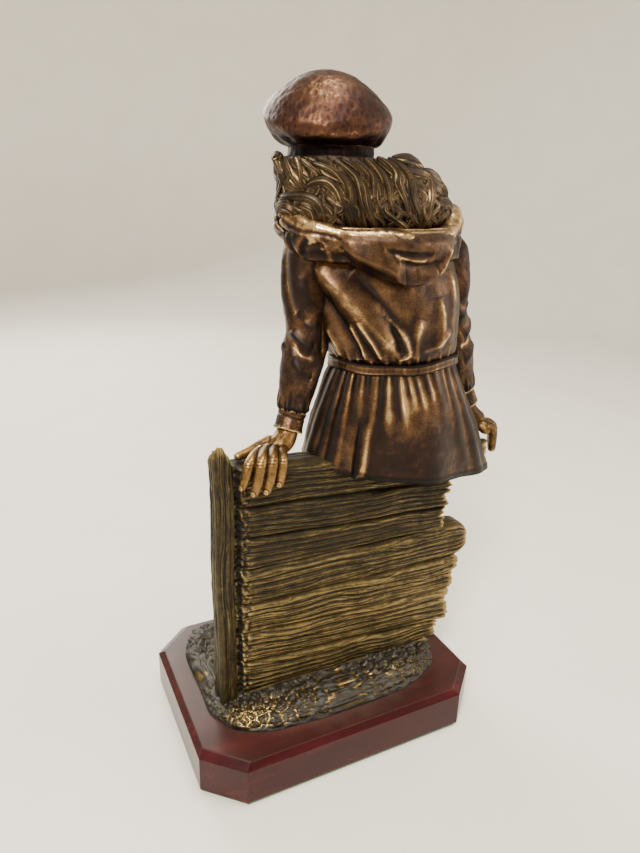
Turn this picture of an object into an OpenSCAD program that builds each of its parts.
// Souvenir figurine: a girl in a cap and hooded tunic, seated on a plank fence.
// Millimetres, +Z up. The origin is the centre of the underside.
// The figure faces -Y, so its own left hand is on the +X side.

/* [Plinth] */
// Width of the wooden plinth, along the fence
plinth_w = 140; // [125:1:170]
// Depth of the plinth
plinth_d = 103; // [98:1:126]
// Height of the plinth without its felt
plinth_h = 20; // [14:0.5:26]
// Length of each corner cut, along the width
corner_w = 16; // [8:1:20]
// Length of each corner cut, along the depth
corner_d = 15; // [8:1:20]
// Size of the bevel round the top edge
edge_bevel = 2.7; // [1:0.1:4]
// Thickness of the felt pad
felt_t = 1.6; // [1:0.1:3]

/* [Ground] */
// Width of the rocky mound
ground_w = 120; // [112:1:124]
// Depth of the rocky mound
ground_d = 86; // [82:1:88]
// Height of the mound at the foot of the fence
ground_h = 6; // [4.5:0.5:9]

/* [Fence] */
// Height of the fence over the plinth
fence_h = 118.4; // [96:0.1:145]
// Thickness of the planks
plank_t = 12.5; // [10:0.5:15]
// Width of the posts
post_w = 8.5; // [7.5:0.5:10]
// Depth of the left post
post_d = 12; // [11:0.5:15]
// Length of the fence from the left post to the ragged ends
fence_w = 110; // [105:1:120]

/* [Figure] */
// Height of the figure from its seat to the top of the cap
figure_h = 148; // [122:1:180]
// Distance of the seat from the left post
seat_reach = 79; // [75:1:84]

/* [Fasteners] */
// Radius of the plinth screws
screw_r = 2; // [1.5:0.1:2.5]
// Radius of the screw heads
screw_head_r = 3.8; // [3:0.1:4.5]
// Radius of the fence and hip pins
pin_r = 1.6; // [1.2:0.1:2]
// Radial clearance round pins, pegs and screws
pin_gap = 0.1; // [0.05:0.05:0.2]
// Clearance between castings that fit round each other
cast_gap = 0.1; // [0.05:0.05:0.2]

/* [Hidden] */

sheet = 0.02; // height of the flat cones that lofts are hulled between
plinth_top = felt_t + plinth_h;
ground_top = plinth_top + ground_h;
ground_y = -3;
fence_top = plinth_top + fence_h;
fence_k = fence_h / 118.4;
fence_y = 11.5;
fence_x = 46;
fence_back = fence_y + plank_t / 2;
fence_front = fence_y - plank_t / 2;
figure_k = figure_h / 148;
seat = [fence_x - seat_reach, fence_y, fence_top];

// Screws and pins
screw_x = 38;
screw_y = -24;
screw_sunk = 6;
washer_t = 1;
screw_bite = 5;
fence_pin_x = [fence_x - 22, fence_x - 92];
fence_pin_foot = plinth_top + 1.5;
fence_pin_top = fence_top - 4;
hip_pin_x = [seat[0] + 10, seat[0] - 8];
hip_pin_depth = 10;
boot_pin_bite = 4;
waist_pin_r = 2.5;
neck_pin_r = 1.5;
peg_r = 2.6;

// Planks, from the top: how far each one's top and bottom edges lie under the fence's top,
// at the left post and at the ragged end, and how far its end passes the fence's length
edge_left = [0, 19, 33, 48.5, 66.5, 81, 95.5, 111.5, 115.9];
edge_right = [6, 24, 38.5, 49.5, 67.5, 86, 104.5, 113.5, 115.9];
end_past = [17, -1.5, -2.5, 14, 8, 4.5, -1.5, -7];
round_plank = 3;
tenon_planks = [1, 5];
tenon_len = 4;
tenon_h = 8;

wood = [0.24, 0.19, 0.09];
bronze = [0.33, 0.2, 0.09];
copper = [0.36, 0.16, 0.08];
gold = [0.5, 0.36, 0.14];
steel = [0.6, 0.6, 0.62];

// Catmull-Rom value between b and c, for numbers or for whole rows of them
function between(a, b, c, d, t) =
    0.5 * (2 * b + (c - a) * t + (2 * a - 5 * b + 4 * c - d) * t * t
        + (3 * b - a - 3 * c + d) * t * t * t);

// The rows with n steps between each pair
function smooth(rows, n) = [
    for (i = [0 : len(rows) - 2], j = [0 : n - 1])
        between(rows[max(i - 1, 0)], rows[i], rows[i + 1], rows[min(i + 2, len(rows) - 1)], j / n),
    rows[len(rows) - 1]
];

function spot(row) = [row[0], row[1], row[2]];
function on_figure(v) = seat + figure_k * v;
function way(v) = [0, acos(v[2] / norm(v)), atan2(v[1], v[0])];

// A ring of corners, which a cone this flat leaves as the only edge of a hull
module slice(r, sides) {
    cylinder(r1 = r, r2 = 0, h = sheet, $fn = sides);
}

// Level slices [x, y, z, half width, half depth] joined into one form that grows by g
module stack(rows, g = 0, n = 2, sides = 28) {
    fine = smooth(rows, n);
    for (i = [0 : len(fine) - 2])
        hull()
            for (row = [fine[i], fine[i + 1]])
                translate(spot(row))
                    scale([row[3] + g, row[4] + g, 1])
                        slice(1, sides);
}

// Round slices [x, y, z, radius] across a path, joined into one limb that grows by g
module limb(rows, g = 0, n = 2, sides = 16) {
    fine = smooth(rows, n);
    last = len(fine) - 1;
    for (i = [0 : last - 1])
        hull()
            for (j = [i, i + 1])
                translate(spot(fine[j]))
                    rotate(way(spot(fine[min(j + 1, last)]) - spot(fine[max(j - 1, 0)])))
                        slice(fine[j][3] + g, sides);
}

// A straight round bar between two points
module bar(a, b, r) {
    translate(a)
        rotate(way(b - a))
            cylinder(r = r, h = norm(b - a), $fn = 32);
}

// ---- Base ----

module octagon(inset = 0) {
    x = plinth_w / 2 - inset;
    y = plinth_d / 2 - inset;
    polygon([
        [x - corner_w, -y], [x, corner_d - y], [x, y - corner_d], [x - corner_w, y],
        [corner_w - x, y], [-x, y - corner_d], [-x, corner_d - y], [corner_w - x, -y]
    ]);
}

module at_screws() {
    for (side = [-1, 1])
        translate([side * screw_x, screw_y, 0])
            children();
}

module felt_pad() color("darkgreen") {
    linear_extrude(felt_t)
        octagon(1);
}

module plinth() color([0.28, 0.03, 0.03]) {
    difference() {
        hull() {
            translate([0, 0, felt_t])
                linear_extrude(plinth_h - edge_bevel)
                    octagon();
            translate([0, 0, felt_t])
                linear_extrude(plinth_h)
                    octagon(edge_bevel);
        }
        at_screws() {
            translate([0, 0, felt_t - 1])
                cylinder(r = screw_head_r + 1, h = screw_sunk + 1, $fn = 48);
            cylinder(r = screw_r + pin_gap, h = plinth_top + 1, $fn = 48);
        }
    }
}

module plinth_screws() color(steel) {
    head_z = felt_t + screw_sunk - washer_t;
    at_screws() {
        difference() {
            translate([0, 0, head_z - 2.4])
                cylinder(r = screw_head_r - 0.6, h = 2.4, $fn = 48);
            translate([-screw_head_r, -0.5, head_z - 3.4])
                cube([2 * screw_head_r, 1, 2]);
        }
        translate([0, 0, head_z])
            cylinder(r = screw_r, h = plinth_top + screw_bite - 0.5 - head_z, $fn = 48);
    }
}

module screw_washers() color(steel) {
    at_screws()
        translate([0, 0, felt_t + screw_sunk - washer_t])
            difference() {
                cylinder(r = screw_head_r + 0.5, h = washer_t, $fn = 48);
                translate([0, 0, -1])
                    cylinder(r = screw_r + pin_gap, h = washer_t + 2, $fn = 48);
            }
}

// Outline of the mound, an uneven oval with full corners
mound_power = 0.5;

function full(v) = sign(v) * pow(abs(v), mound_power);

module mound_outline(inset) {
    polygon([
        for (a = [0 : 12 : 348])
            [
                (ground_w / 2 - inset) * (full(cos(a)) + 0.02 * sin(3 * a)),
                ground_y + (ground_d / 2 - inset) * (full(sin(a)) + 0.02 * cos(5 * a))
            ]
    ]);
}

module stone(x, y, r) {
    translate([ground_w * x, ground_y + ground_d * y, plinth_top])
        hull() {
            cylinder(r = r, h = 1, $fn = 9);
            translate([1, -1, ground_h * 0.9 - 1])
                cylinder(r = r * 0.55, h = 1, $fn = 7);
        }
}

module ground() color([0.25, 0.21, 0.12]) {
    difference() {
        union() {
            hull() {
                translate([0, 0, plinth_top])
                    linear_extrude(ground_h * 0.45)
                        mound_outline(0);
                translate([0, 0, plinth_top])
                    linear_extrude(ground_h)
                        mound_outline(5);
            }
            stone(0.41, 0.22, 7);
            stone(-0.38, 0.3, 8);
            stone(0.43, -0.22, 8);
            stone(-0.43, -0.17, 7);
            stone(0, -0.46, 6);
        }
        at_screws()
            translate([0, 0, plinth_top - 1])
                cylinder(r = screw_r + pin_gap, h = screw_bite + 1, $fn = 48);
        for (x = fence_pin_x)
            translate([x, fence_y, fence_pin_foot])
                cylinder(r = pin_r + pin_gap, h = ground_h + 2, $fn = 48);
        for (side = [-1, 1])
            translate([boot_pin(side)[0], boot_pin(side)[1], ground_top - boot_pin_bite])
                cylinder(r = pin_r + pin_gap, h = ground_h, $fn = 48);
        fence_foot();
        post_foot(left_post_x, left_post_y, post_d);
        post_foot(right_post_x, right_post_y, right_post_d);
    }
}

// ---- Fence ----

post_tenon = 4;
right_post_d = 11;
right_post_h = 96;
left_post_x = fence_x + post_w / 2;
post_proud = 1.5; // how far the left post stands out behind the planks
left_post_y = fence_back + post_proud - post_d / 2;
right_post_x = fence_x - 106;
right_post_y = fence_front - right_post_d / 2;
foot_sunk = 3.5;

// Slot in the mound where the lowest plank stands
module fence_foot() {
    translate([fence_x - fence_w - 4, fence_front, ground_top - foot_sunk])
        cube([fence_w + 4, plank_t, foot_sunk + 4]);
}

// Square socket under a post
module post_foot(x, y, d) {
    translate([x - post_w / 2, y - d / 2, ground_top - post_tenon])
        cube([post_w, d, post_tenon + 4]);
}

// Height of the plank edge i at the left post and at the ragged end
function left_edge(i) = i == 8 ? ground_top - foot_sunk : fence_top - fence_k * edge_left[i];
function right_edge(i) = i == 8 ? ground_top - foot_sunk : fence_top - fence_k * edge_right[i];

module plank_outline(i) {
    far = fence_x - fence_w;
    tip = far - end_past[i];
    // Height of the edges where the plank ends, on the same slopes as its neighbours
    slope_top = (left_edge(i) - right_edge(i)) / fence_w;
    slope_bottom = (left_edge(i + 1) - right_edge(i + 1)) / fence_w;
    top = left_edge(i) - slope_top * (fence_x - tip);
    bottom = left_edge(i + 1) - slope_bottom * (fence_x - tip);
    ragged = i == 7 ? 0 : 2.5;
    if (i == round_plank) {
        r = (top - bottom) / 2;
        intersection() {
            polygon([[fence_x, left_edge(i)], [fence_x, left_edge(i + 1)], [tip, bottom], [tip, top]]);
            union() {
                translate([tip + r, bottom + r])
                    circle(r = r, $fn = 48);
                translate([tip + r, bottom - r])
                    square([fence_x - tip, 4 * r]);
            }
        }
    } else {
        polygon([
            [fence_x, left_edge(i)], [fence_x, left_edge(i + 1)],
            [tip + ragged, bottom + ragged * slope_bottom],
            [tip, bottom + (top - bottom) * 0.35],
            [tip + ragged * 0.3, bottom + (top - bottom) * 0.75],
            [tip + ragged, top + ragged * slope_top]
        ]);
    }
}

// Solid of plank i, thicker by g all round in depth
module plank_solid(i, g = 0) {
    translate([0, fence_back + g, 0])
        rotate([90, 0, 0])
            linear_extrude(plank_t + 2 * g)
                plank_outline(i);
}

module plank_tenon(i, g = 0) {
    z = (left_edge(i) + left_edge(i + 1)) / 2;
    translate([fence_x - 1, fence_y - 3 - g, z - tenon_h / 2 - g])
        cube([tenon_len + 1 + g, 6 + 2 * g, tenon_h + 2 * g]);
}

module pin_bores() {
    for (x = fence_pin_x)
        translate([x, fence_y, fence_pin_foot])
            cylinder(r = pin_r + pin_gap, h = fence_pin_top + 0.5 - fence_pin_foot, $fn = 48);
    for (x = hip_pin_x)
        translate([x, fence_y, fence_top - hip_pin_depth - 0.5])
            cylinder(r = pin_r + pin_gap, h = 2 * hip_pin_depth + 1, $fn = 48);
}

module plank(i) color(wood * (1 + 0.25 * (i % 2))) {
    difference() {
        union() {
            plank_solid(i);
            for (k = tenon_planks)
                if (k == i) plank_tenon(i);
        }
        pin_bores();
    }
}

module left_post() color(wood) {
    difference() {
        translate([fence_x, fence_back + post_proud, 0])
            rotate([90, 0, 0])
                linear_extrude(post_d)
                    polygon([
                        [0, ground_top - post_tenon], [post_w, ground_top - post_tenon],
                        [post_w, fence_top + 6], [post_w - 1.5, fence_top + 9.5],
                        [post_w - 3.5, fence_top + 10.5], [2.5, fence_top + 5], [0, fence_top + 3.5]
                    ]);
        for (i = tenon_planks)
            plank_tenon(i, cast_gap);
    }
}

module right_post() color(wood) {
    translate([right_post_x - post_w / 2, right_post_y + right_post_d / 2, 0])
        rotate([90, 0, 0])
            linear_extrude(right_post_d)
                polygon([
                    [0, ground_top - post_tenon], [post_w, ground_top - post_tenon],
                    [post_w, plinth_top + fence_k * (right_post_h - 3)],
                    [post_w - 3, plinth_top + fence_k * right_post_h],
                    [0, plinth_top + fence_k * (right_post_h - 5)]
                ]);
}

module fence_pins() color(steel) {
    for (x = fence_pin_x)
        translate([x, fence_y, fence_pin_foot])
            cylinder(r = pin_r, h = fence_pin_top - fence_pin_foot, $fn = 48);
}

module hip_pins() color(steel) {
    for (x = hip_pin_x)
        translate([x, fence_y, fence_top - hip_pin_depth])
            cylinder(r = pin_r, h = 2 * hip_pin_depth, $fn = 48);
}

// ---- Body ----

waist = [0.7, -4.5, 36.5];

function figure_rows(rows) = [
    for (row = rows)
        [
            seat[0] + figure_k * row[0], seat[1] + figure_k * row[1], seat[2] + figure_k * row[2],
            figure_k * row[3], figure_k * row[4]
        ]
];

tunic_rows = figure_rows([
    [0.7, -4.5, 36.5, 27.9, 19.7], [1.8, -4, 41, 29.6, 20.8], [4, -3.5, 50, 31.8, 21.8],
    [6.1, -4, 62, 33.5, 22.2], [8, -6, 73, 34.3, 21.3], [8.9, -8, 82, 31.5, 18.3],
    [12.4, -10.5, 90, 19.7, 12.8], [16, -13, 97, 9.5, 9.5]
]);

// The hem is a tilted oval, so the skirt is hulled between slices that tilt more and more
skirt_rows = [
    [0.7, -4.5, 36.4, 27.9, 19.7, 0], [0.8, -4.5, 32, 30, 21.2, 1.5], [-0.3, -5, 21, 34.7, 24.5, 3],
    [-2.7, -6, 8, 40.7, 27.5, 5], [-6.8, -8, -14.5, 49.3, 29.4, 7]
];

module skirt_form(g = 0) {
    fine = smooth(skirt_rows, 3);
    for (i = [0 : len(fine) - 2])
        hull()
            for (row = [fine[i], fine[i + 1]])
                translate(on_figure(spot(row)))
                    rotate([0, -row[5], 0])
                        scale([figure_k * row[3] + g, figure_k * row[4] + g, 1])
                            slice(1, 32);
}

module waist_bore(g) {
    translate(on_figure([1, -4.5, 22]))
        cylinder(r = waist_pin_r + g, h = figure_k * 30 + 2 * g, $fn = 48);
}

module neck_bore(g) {
    bar(on_figure([15, -12.5, 84]), on_figure([29.3, -16.8, 110]), neck_pin_r + g);
}

module skirt() color(bronze) {
    difference() {
        skirt_form();
        translate([0, 0, -cast_gap])
            waist_bore(pin_gap);
        for (i = [0 : 2])
            plank_solid(i, cast_gap);
        pin_bores();
        leg_form(1, cast_gap);
        leg_form(-1, cast_gap);
        cuff_form(-1, cast_gap);
        hand_room();
    }
}

// Open side of the skirt where it is lifted over the right hand
module hand_room() {
    hull() {
        translate(on_hand(-1, [7, -11, 13]))
            sphere(r = figure_k * 6.5, $fn = 20);
        translate(on_hand(-1, [-30, -21.5, -24]))
            cube(figure_k * [32, 24.5, 30]);
    }
}

module waist_pin() color(steel) {
    waist_bore(0);
}

module belt_ring(g) {
    translate(on_figure(waist))
        scale([figure_k * 30.7 + g, figure_k * 22.4 + g, 1])
            cylinder(r = 1, h = figure_k * 5.5, center = true, $fn = 60);
}

module belt() color(copper) {
    difference() {
        belt_ring(0);
        stack(tunic_rows, cast_gap);
        skirt_form(cast_gap);
        translate(on_figure(waist) - [0, 0, 1])
            scale([figure_k * 27.9 + cast_gap, figure_k * 19.7 + cast_gap, 1])
                cylinder(r = 1, h = 2, $fn = 28);
    }
}

module belt_buckle() color(gold) {
    difference() {
        translate(on_figure([0.7, -27.3, 36.5]))
            cube(figure_k * [9, 3, 7.5], center = true);
        translate(on_figure([0.7, -29.3, 36.5]))
            cube(figure_k * [5.5, 3, 4], center = true);
        belt_ring(cast_gap);
    }
}

module tunic_body() color(bronze) {
    difference() {
        stack(tunic_rows);
        waist_bore(pin_gap);
        neck_bore(pin_gap);
    }
}

hood_rows = figure_rows([
    [10.9, -5, 79, 35.5, 20.4], [12.7, -5, 84, 38.4, 22.4], [13.3, -5, 88, 39, 23.4],
    [13.3, -6, 92, 36.9, 22.9]
]);

bag_rows = figure_rows([
    [9, 14.5, 71.5, 9, 4], [9.4, 13, 74.5, 16, 7.8], [11.4, 11, 80, 22.3, 12],
    [12.6, 7, 87, 28, 15.8], [12.4, 3, 91, 28.9, 15.6]
]);

// Hollow that the hood leaves for the neck and the hair
collar_rows = figure_rows([
    [14.5, -10, 84, 21, 14], [14.3, -10, 88, 26, 16], [14, -10, 97, 30, 18]
]);

roll_thick = 5.3;

// Middle of the rolled rim at an angle round the neck: low at the throat, a little low behind
function roll_spot(a) = [
    13.3 + 36.3 * cos(a),
    -10 + (sin(a) > 0 ? 25.5 : 18.5) * sin(a),
    93.5 + (sin(a) > 0 ? -3.5 : 8) * sin(a)
];

module roll_form(g = 0) {
    step = 12;
    for (a = [0 : step : 359])
        hull()
            for (b = [a, a + step])
                translate(on_figure(roll_spot(b)))
                    rotate(way(roll_spot(b + 1) - roll_spot(b - 1)))
                        slice(figure_k * (roll_thick + 0.7 * sin(b)) + g, 12);
}

module hood() color(bronze) {
    difference() {
        union() {
            stack(hood_rows);
            stack(bag_rows);
        }
        stack(tunic_rows, cast_gap);
        stack(collar_rows);
        roll_form(cast_gap);
    }
}

module hood_roll() color(gold) {
    difference() {
        roll_form();
        stack(tunic_rows, cast_gap);
    }
}

module neck_pin() color(steel) {
    neck_bore(0);
}

// ---- Head ----

head_rows = figure_rows([
    [20, -14, 93, 8, 8], [26, -17, 97.5, 8.5, 9.5]
]);

face_rows = figure_rows([
    [30.6, -25, 94, 4.5, 4], [30.4, -22.5, 96.5, 8.5, 8], [30.2, -20, 101, 11.5, 12.5],
    [30, -18, 108, 13.5, 16], [30, -17, 116, 14, 17], [30, -16.5, 123, 13, 16], [30, -16, 129.5, 8, 10]
]);

module head_form(g = 0) {
    stack(face_rows, g);
    stack(head_rows, g);
}

module head() color(bronze) {
    difference() {
        union() {
            head_form();
            // Nose
            hull() {
                translate(on_figure([30.2, -34.3, 111.5]))
                    sphere(r = figure_k * 0.9, $fn = 12);
                translate(on_figure([30.3, -35, 105]))
                    sphere(r = figure_k * 1.7, $fn = 12);
            }
        }
        stack(tunic_rows, cast_gap);
        neck_bore(pin_gap);
    }
}

hair_rows = figure_rows([
    [26, -9.5, 116.1, 28.5, 21.2], [20.5, -9, 110, 33, 22.2], [17.5, -8.5, 104, 35.6, 22.8],
    [16.7, -8.5, 98.5, 37, 23.3], [16.1, -9, 94, 33, 20.9], [15, -10, 90, 26, 16]
]);

module hair() color([0.3, 0.22, 0.1]) {
    difference() {
        stack(hair_rows);
        head_form(cast_gap);
        // Opening round the face
        translate(on_figure([30.5, -36, 104]))
            scale(figure_k * [14.5, 17, 20])
                sphere(r = 1, $fn = 32);
        stack(tunic_rows, cast_gap);
        roll_form(cast_gap);
        neck_bore(pin_gap);
        hood_inner();
    }
}

// What the hood holds, so that the hair keeps clear of it
module hood_inner() {
    difference() {
        stack(hood_rows, cast_gap);
        stack(collar_rows, -cast_gap);
    }
}

cap_band_low = 116.2;
cap_band_h = 4.6;

module cap_band() color(copper) {
    difference() {
        translate(on_figure([29.3, -16, cap_band_low]))
            scale(figure_k * [16.8, 19.4, cap_band_h])
                cylinder(r = 1, h = 1, $fn = 64);
        head_form(cast_gap);
    }
}

cap_rows = figure_rows([
    [29.3, -16, 120.8, 18, 20], [29.7, -16, 124, 21.3, 21.6], [30.6, -16, 129, 24, 23.8],
    [31.1, -16, 133.5, 24.5, 24.3], [31.6, -16, 138.5, 21.1, 21.1], [31.9, -15.7, 143, 15.2, 15.2],
    [32, -15.5, 146.3, 8, 8], [32, -15.5, 148, 2, 2]
]);

module cap_crown() color(copper) {
    difference() {
        stack(cap_rows);
        head_form(cast_gap);
        translate(on_figure([29.3, -16, 100]))
            scale(figure_k * [15, 17.6, 1])
                cylinder(r = 1, h = figure_k * (cap_band_low + cap_band_h - 100) + sheet, $fn = 64);
    }
}

// ---- Arms: side is 1 for the figure's left and -1 for its right ----

// Each hand rests on the rail; its own frame starts at the rail's top back edge
function hand_x(side) = seat[0] + figure_k * (side > 0 ? 61 : -49);
function on_hand(side, v) = [
    hand_x(side) + figure_k * v[0],
    fence_back + figure_k * v[1],
    fence_top - (side > 0 ? 0 : fence_k * 4) + figure_k * v[2]
];
function wrist(side) = side > 0 ? on_hand(1, [-8.5, -8, 10]) : on_hand(-1, [7, -11.2, 14]);
function cuff_top(side) = wrist(side) + figure_k * (side > 0 ? [-3, -2, 7.5] : [3, -0.5, 7.5]);
function shoulder(side) = on_figure(side > 0 ? [41, -10.5, 82] : [-24.3, -10.5, 82]);

function arm_row(v, r) = [v[0], v[1], v[2], figure_k * r];
function elbow(side) =
    0.5 * (shoulder(side) + cuff_top(side)) + figure_k * (side > 0 ? [-3, 0, 0] : [2.5, 1, 0]);

function arm_rows(side) = [
    arm_row(shoulder(side) + figure_k * [-4 * side, 0, 7], 4),
    arm_row(shoulder(side), 9.3),
    arm_row(0.6 * shoulder(side) + 0.4 * elbow(side) + figure_k * [side * 1.5, 0, 0], 9.2),
    arm_row(elbow(side), 8.6),
    arm_row(0.45 * elbow(side) + 0.55 * cuff_top(side), 8.2),
    arm_row(cuff_top(side), 6.2)
];

module cuff_form(side, g = 0) {
    a = wrist(side);
    b = cuff_top(side);
    reach = (b - a) * g / norm(b - a);
    bar(a - reach, b + reach, figure_k * 6.4 + g);
}

module peg(side, g) {
    a = wrist(side);
    b = cuff_top(side);
    bar(a + 0.3 * (a - b), b + (0.7 + g) * (b - a), figure_k * peg_r + g);
}

module sleeve(side) color(bronze) {
    difference() {
        limb(arm_rows(side));
        stack(tunic_rows, cast_gap);
        stack(hood_rows, cast_gap);
        roll_form(cast_gap);
        cuff_form(side, cast_gap);
        peg(side, pin_gap);
        skirt_form(cast_gap);
        belt_ring(cast_gap);
    }
}

module cuff(side) color(copper) {
    difference() {
        cuff_form(side);
        peg(side, pin_gap);
    }
}

// A finger over the rail's edge: it leaves the knuckle, goes out, bends and points down,
// while it drifts on sideways
function finger_rows(root, out, reach, drift) = [
    [root[0], root[1], root[2], 2.5],
    [root[0] + out[0] * 0.5, root[1] + out[1] * 0.5, root[2] + 0.4, 2.4],
    [root[0] + out[0], root[1] + out[1], root[2] - 4.5, 2.2],
    [root[0] + out[0] * drift, root[1] + out[1], root[2] - reach, 1.7]
];

function placed(side, rows) = [
    for (row = rows)
        let (p = on_hand(side, spot(row)))
            [p[0], p[1], p[2], figure_k * row[3]]
];

// The left hand's fingers hang over the rail's back edge, the right hand's over its end.
// Each hand has the palm's slices, four fingers and the thumb.
module hand_form(side, g = 0) {
    palm = side > 0
        ? [[-8.5, -8, 10, 4.6], [-6.5, -6.5, 6.6, 5], [-3, -4.5, 4.6, 5.2], [1, -2.8, 4, 4.6]]
        : [[7, -11.2, 14, 4.6], [4, -10.5, 8.4, 5], [-0.5, -9, 3.8, 5.2], [-3.5, -8, 2, 4.6]];
    limb(placed(side, palm), g, 3, 12);
    for (f = [0 : 3]) {
        root = side > 0 ? [-3.6 + 3.3 * f, -3.2, 4] : [-1 - 2.2 * f, -3.2 - 3 * f, 1.4];
        out = side > 0 ? [3.6 + 1.5 * f, 8.2] : [-4.4, 1.6];
        reach = f == 0 || f == 3 ? 12.5 : 15.5;
        limb(placed(side, finger_rows(root, out, reach, side > 0 ? 1.5 : 1.05)), g, 2, 10);
    }
    thumb = side > 0
        ? [[-2, -8, 6.5, 2.8], [6, -8, 3.6, 2.4], [15, -7, 1.9, 1.6]]
        : [[4, -13.5, 7.5, 2.8], [-1, -17, 3, 2.6], [-6, -19.5, -2, 1.6]];
    limb(placed(side, thumb), g, 2, 10);
}

module hand(side) color(gold) {
    difference() {
        union() {
            hand_form(side);
            peg(side, 0);
        }
        difference() {
            cuff_form(side, cast_gap);
            peg(side, 0);
        }
        plank_solid(0, cast_gap);
        translate([0, 0, cast_gap])
            plank_solid(0);
        left_post();
    }
}

// ---- Legs ----

function hip(side) = on_figure([side > 0 ? 15 : -14, -7, 9]);
function ankle(side) = [
    seat[0] + (side > 0 ? 15 : -9) * figure_k, fence_y - (side > 0 ? 24 : 20.5), ground_top + 12
];
function knee(side) = 0.5 * (hip(side) + ankle(side)) + figure_k * [side > 0 ? 2 : -2, -33, 3];
function boot_pin(side) = [ankle(side)[0], ankle(side)[1] - 10];

module leg_form(side, g = 0) {
    limb([
        arm_row(hip(side), 13),
        arm_row(0.5 * (hip(side) + knee(side)) + figure_k * [0, -2, 2], 12.6),
        arm_row(knee(side) + figure_k * [0, 1, 0], 10.6),
        arm_row(0.55 * knee(side) + 0.45 * ankle(side), 9),
        arm_row(ankle(side), 6)
    ], g, 3, 20);
}

module leg(side) color(bronze) {
    difference() {
        leg_form(side);
        for (i = [0 : 1])
            plank_solid(i, cast_gap);
        translate([0, 0, cast_gap])
            plank_solid(0);
        pin_bores();
    }
}

module boot_form(side) {
    a = ankle(side);
    top = 0.55 * knee(side) + 0.45 * a;
    limb([arm_row(top, 10.8), arm_row(0.5 * (top + a), 10), arm_row(a, 8.2), arm_row(a - [0, -1, 6], 7.6)], 0, 3, 20);
    toe = [a[0] + side * 2, a[1] - 26, ground_top];
    ball = [a[0] + side * 1.5, a[1] - 15, ground_top];
    heel = [a[0], a[1] + 2, ground_top];
    hull() {
        translate(heel)
            cylinder(r = 7.6, h = 12, $fn = 24);
        translate(ball)
            cylinder(r = 8, h = 8, $fn = 24);
    }
    hull() {
        translate(ball)
            cylinder(r = 8, h = 8, $fn = 24);
        translate(toe)
            cylinder(r = 6.6, h = 5.5, $fn = 24);
    }
    hull() {
        translate(heel)
            cylinder(r = 8.2, h = 2, $fn = 24);
        translate(toe)
            cylinder(r = 7.4, h = 2, $fn = 24);
    }
}

module boot(side) color([0.2, 0.13, 0.07]) {
    difference() {
        boot_form(side);
        leg_form(side, cast_gap);
        translate([boot_pin(side)[0], boot_pin(side)[1], ground_top - 1])
            cylinder(r = pin_r + pin_gap, h = 6, $fn = 48);
    }
}

module boot_pins() color(steel) {
    for (side = [-1, 1])
        translate([boot_pin(side)[0], boot_pin(side)[1], ground_top - boot_pin_bite])
            cylinder(r = pin_r, h = boot_pin_bite + 4.5, $fn = 48);
}

felt_pad();
plinth();
plinth_screws();
screw_washers();
ground();
left_post();
right_post();
plank(0);  // top_rail
plank(1);  // plank_2
plank(2);  // plank_3
plank(3);  // plank_4
plank(4);  // plank_5
plank(5);  // plank_6
plank(6);  // plank_7
plank(7);  // plank_8
fence_pins();
hip_pins();
boot_pins();
skirt();
belt();
belt_buckle();
waist_pin();
tunic_body();
hood();
hood_roll();
neck_pin();
head();
hair();
cap_band();
cap_crown();
sleeve(1);  // left_sleeve
sleeve(-1);  // right_sleeve
cuff(1);  // left_cuff
cuff(-1);  // right_cuff
hand(1);  // left_hand
hand(-1);  // right_hand
leg(1);  // left_leg
leg(-1);  // right_leg
boot(1);  // left_boot
boot(-1);  // right_boot
